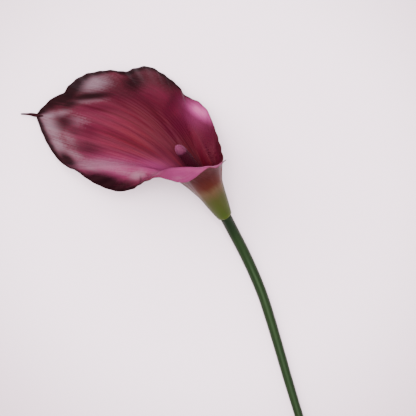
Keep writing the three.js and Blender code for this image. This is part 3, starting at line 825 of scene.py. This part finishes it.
    # outer face: green at the foot, a tan band, red-brown and then mauve, over 90 mm
    height = add(tree, "Math", {0: broad, 1: 7.0, 2: far}, operation="MULTIPLY_ADD").outputs[0]
    height = add(tree, "Math", {0: height, 1: 90.0}, operation="DIVIDE").outputs[0]
    outer = add(tree, "ValToRGB", {"Fac": height}, stops=[
        (0.03, "#455010"), (0.12, "#2d3c0e"), (0.27, "#353716"), (0.35, "#4c3826"), (0.405, "#3f160f"),
        (0.49, "#350c0e"), (0.66, "#52282c"), (1.0, "#240810")]).outputs[0]
    outer = add(tree, "Mix", {FACTOR: line, FIRST: outer, SECOND: linear("#2c1c10")},
                data_type="RGBA").outputs[MIXED]
    colour = add(tree, "Mix", {FACTOR: inside, FIRST: outer, SECOND: inner},
                 data_type="RGBA").outputs[MIXED]

    # the veins stand out more towards the margin
    relief = add(tree, "Math", {0: fine, 1: 1.6, 2: grain}, operation="MULTIPLY_ADD").outputs[0]
    depth = add(tree, "MapRange", {"Value": share, "From Min": 0.15, "From Max": 0.8,
                                   "To Min": 0.05, "To Max": 0.35}).outputs[0]
    bump = add(tree, "Bump", {"Height": relief, "Strength": depth, "Distance": 0.0002}).outputs[0]
    rough = add(tree, "MapRange", {"Value": fine, "To Min": 0.38, "To Max": 0.52}).outputs[0]
    # pigment cells under the wax tint what they reflect
    wax = add(tree, "Mix", {FACTOR: inside, FIRST: linear("#ffe0c0"), SECOND: linear("#ffa0b0")},
              data_type="RGBA").outputs[MIXED]
    # the dark margin and the hollows are dull, and the outer face has less wax
    dull = add(tree, "Math", {0: black, 1: hollow_shade}, operation="MAXIMUM").outputs[0]
    shine = add(tree, "MapRange", {"Value": dull, "To Min": 0.26, "To Max": 0.07}).outputs[0]
    bare = add(tree, "Math", {0: inside, 1: 0.55, 2: 0.45}, operation="MULTIPLY_ADD").outputs[0]
    shine = add(tree, "Math", {0: shine, 1: bare}, operation="MULTIPLY").outputs[0]
    for socket, what in (("Base Color", colour), ("Roughness", rough), ("Normal", bump),
                         ("Specular Tint", wax), ("Specular IOR Level", shine)):
        tree.links.new(what, shader.inputs[socket])
    shader.inputs["IOR"].default_value = 1.38
    shader.inputs["Subsurface Weight"].default_value = 0.06
    shader.inputs["Subsurface Radius"].default_value = (0.9, 0.25, 0.35)
    shader.inputs["Subsurface Scale"].default_value = 0.001
    return made


def stalk():
    """Smooth fleshy stalk with a thin wax: fine fibres run along it, the skin is mottled and
    darker under the flower, and the cut shows pale wet pith with darker bundles."""
    made, tree, shader = new_material("waxy_green_stalk")
    along, turned, cut = (add(tree, "Attribute", attribute_name=name).outputs["Fac"]
                          for name in ("along", "turned", "cut"))
    round_x = add(tree, "Math", {0: turned}, operation="COSINE").outputs[0]
    round_y = add(tree, "Math", {0: turned}, operation="SINE").outputs[0]
    way = add(tree, "CombineXYZ", {"X": round_x, "Y": round_y, "Z": along}).outputs[0]
    # fibres 0.35 mm wide and centimetres long, mottles 2 mm wide and 14 mm long
    fibre_way = add(tree, "VectorMath", {0: way, 1: (9, 9, 0.03)}, operation="MULTIPLY").outputs[0]
    fibre = add(tree, "TexNoise", {"Vector": fibre_way, "Scale": 1.0, "Detail": 3.0}).outputs["Fac"]
    mottle_way = add(tree, "VectorMath", {0: way, 1: (1.6, 1.6, 0.07)}, operation="MULTIPLY").outputs[0]
    mottle = add(tree, "TexNoise", {"Vector": mottle_way, "Scale": 1.0, "Detail": 3.0}).outputs["Fac"]
    skin = add(tree, "ValToRGB", {"Fac": mottle}, stops=[
        (0.3, "#081506"), (0.5, "#0c1a07"), (0.75, "#13210b")]).outputs[0]
    streak = add(tree, "MapRange", {"Value": fibre, "From Min": 0.35, "From Max": 0.7,
                                    "To Max": 0.4}).outputs[0]
    # mm from the flower
    near = add(tree, "MapRange", {"Value": along, "From Min": 16.0, "From Max": 2.0, "To Max": 0.7},
               interpolation_type="SMOOTHSTEP").outputs[0]
    for strength, pigment in ((streak, "#17260f"), (near, "#050f05")):
        skin = add(tree, "Mix", {FACTOR: strength, FIRST: skin, SECOND: linear(pigment)},
                   data_type="RGBA").outputs[MIXED]
    # bundles 0.7 mm apart in the cut
    spot = add(tree, "TexCoord").outputs["Object"]
    bundle = add(tree, "TexVoronoi", {"Vector": spot, "Scale": 1500.0}).outputs["Distance"]
    pith = add(tree, "ValToRGB", {"Fac": bundle}, stops=[(0.12, "#56703a"), (0.4, "#98a878")]).outputs[0]
    colour = add(tree, "Mix", {FACTOR: cut, FIRST: skin, SECOND: pith}, data_type="RGBA").outputs[MIXED]
    bump = add(tree, "Bump", {"Height": fibre, "Strength": 0.3, "Distance": 0.0001}).outputs[0]
    rough = add(tree, "MapRange", {"Value": mottle, "To Min": 0.4, "To Max": 0.55}).outputs[0]
    for socket, what in (("Base Color", colour), ("Roughness", rough), ("Normal", bump)):
        tree.links.new(what, shader.inputs[socket])
    shader.inputs["IOR"].default_value = 1.4
    shader.inputs["Specular IOR Level"].default_value = 0.28
    shader.inputs["Specular Tint"].default_value = linear("#d8ffc8")
    return made


def florets():
    """Packed fleshy florets, matt with a dusting of pollen: plum in the funnel, lilac at the tip. The
    plum is partly their own colour and partly painted shade of the funnel, and the crevices between
    florets hold painted shade.
    """
    made, tree, shader = new_material("plum_and_lilac_florets")
    height, dome = (add(tree, "Attribute", attribute_name=name).outputs["Fac"]
                    for name in ("height", "dome"))
    # clots of pollen 0.8 mm wide with finer grains in them
    spot = add(tree, "TexCoord").outputs["Object"]
    speck = add(tree, "TexNoise", {"Vector": spot, "Scale": 1300.0, "Detail": 3.0}).outputs["Fac"]
    wander = add(tree, "Math", {0: speck, 1: 3.0, 2: height}, operation="MULTIPLY_ADD").outputs[0]
    wander = add(tree, "Math", {0: wander, 1: 66.0}, operation="DIVIDE").outputs[0]
    body = add(tree, "ValToRGB", {"Fac": wander}, stops=[
        (0.30, "#48040f"), (0.888, "#42041a"), (0.897, "#682448"), (0.91, "#843c5a"),
        (0.98, "#9c4a72")]).outputs[0]
    # painted shade in the crevices between the florets
    crevice_shade = add(tree, "MapRange", {"Value": dome, "From Min": 0.75, "From Max": 0.1,
                                     "To Max": 0.65}).outputs[0]
    colour = add(tree, "Mix", {FACTOR: crevice_shade, FIRST: body, SECOND: linear("#18040c")},
                 data_type="RGBA").outputs[MIXED]
    bump = add(tree, "Bump", {"Height": speck, "Strength": 0.3, "Distance": 0.0001}).outputs[0]
    rough = add(tree, "MapRange", {"Value": speck, "To Min": 0.5, "To Max": 0.7}).outputs[0]
    for socket, what in (("Base Color", colour), ("Roughness", rough), ("Normal", bump)):
        tree.links.new(what, shader.inputs[socket])
    shader.inputs["IOR"].default_value = 1.4
    shader.inputs["Specular IOR Level"].default_value = 0.2
    shader.inputs["Specular Tint"].default_value = linear("#ffb0c8")
    return made


def paper():
    """Matt seamless paper, a pale pinkish white with a faint unevenness a third of a metre wide,
    greyer away from the flower, which is a painted falloff of the light."""
    made, tree, shader = new_material("matt_studio_paper")
    spot = add(tree, "TexCoord").outputs["Object"]
    cloud = add(tree, "TexNoise", {"Vector": spot, "Scale": 3.0, "Detail": 2.0}).outputs["Fac"]
    white = add(tree, "ValToRGB", {"Fac": cloud}, stops=[(0.3, "#fce4f0"), (0.7, "#ffeaf6")]).outputs[0]
    # metres from a point under the throat
    away = add(tree, "VectorMath", {0: spot, 1: (0.0128, 0.09, 0)}, operation="DISTANCE").outputs["Value"]
    # painted shade: the light's falloff away from the flower, painted into the paper's colour
    shade = add(tree, "MapRange", {"Value": away, "From Min": 0.10, "From Max": 0.225, "To Max": 0.60},
                interpolation_type="SMOOTHSTEP").outputs[0]
    colour = add(tree, "Mix", {FACTOR: shade, FIRST: white, SECOND: linear("#a08890")},
                 data_type="RGBA").outputs[MIXED]
    tree.links.new(colour, shader.inputs["Base Color"])
    shader.inputs["Roughness"].default_value = 0.95
    shader.inputs["Specular IOR Level"].default_value = 0.1
    return made


# ------------------------------------------------------------------ the flower
for made, finish in ((spathe(), petal()), (stem(), stalk()), (spadix(), florets())):
    made.data.materials.append(finish)


# ------------------------------------------------------------------ floor, light and camera
def surround():
    """A plain paper floor under the flower."""
    mesh = bpy.data.meshes.new("floor")
    corners = [(x * FLOOR_HALF, y * FLOOR_HALF, 0) for x, y in ((-1, -1), (1, -1), (1, 1), (-1, 1))]
    mesh.from_pydata(corners, [], [(0, 1, 2, 3)])
    floor = bpy.data.objects.new("floor", mesh)
    bpy.context.scene.collection.objects.link(floor)
    mesh.materials.append(paper())


def lamp(name, kind, at, aim, power):
    """A light of some kind at a place in metres, facing a point."""
    data = bpy.data.lights.new(name, kind)
    data.energy = power
    light = bpy.data.objects.new(name, data)
    light.location = at
    light.rotation_euler = (Vector(aim) - Vector(at)).to_track_quat("-Z", "Y").to_euler()
    bpy.context.scene.collection.objects.link(light)
    return data


def softbox(name, at, aim, size, power, colour):
    """A square area light."""
    data = lamp(name, "AREA", at, aim, power)
    data.shape, data.size, data.color = "SQUARE", size, linear(colour)[:3]


def pool(name, at, aim, radius, power, cone):
    """A soft round spot whose light fades to the edge of its cone, given in degrees."""
    data = lamp(name, "SPOT", at, aim, power)
    data.shadow_soft_size, data.spot_size, data.spot_blend = radius, np.radians(cone), 1.0


surround()
world = bpy.data.worlds.new("studio")
world.use_nodes = True
world.node_tree.nodes["Background"].inputs["Color"].default_value = linear("#f4eef2")
world.node_tree.nodes["Background"].inputs["Strength"].default_value = 0.95
bpy.context.scene.world = world
softbox("key", at=(-0.95, 0.75, 1.05), aim=(-0.03, 0.1, 0.02), size=1.4, power=44, colour="#fffafa")
softbox("fill", at=(1.1, -0.35, 1.0), aim=(0.0, 0.08, 0.02), size=1.2, power=10, colour="#f8f6ff")
pool("pool", at=(0.0, 0.14, 1.65), aim=(0.015, 0.11, 0.0), radius=0.5, power=265, cone=46)

lens = bpy.data.cameras.new("camera")
lens.sensor_width = 36
lens.lens = lens.sensor_width / 2 * CAMERA_HEIGHT / SEEN_HALF
lens.clip_start, lens.clip_end = 0.05, 20
camera = bpy.data.objects.new("camera", lens)
camera.location = (12.8 * MM, 75.6 * MM, CAMERA_HEIGHT * MM)
bpy.context.scene.collection.objects.link(camera)
bpy.context.scene.camera = camera
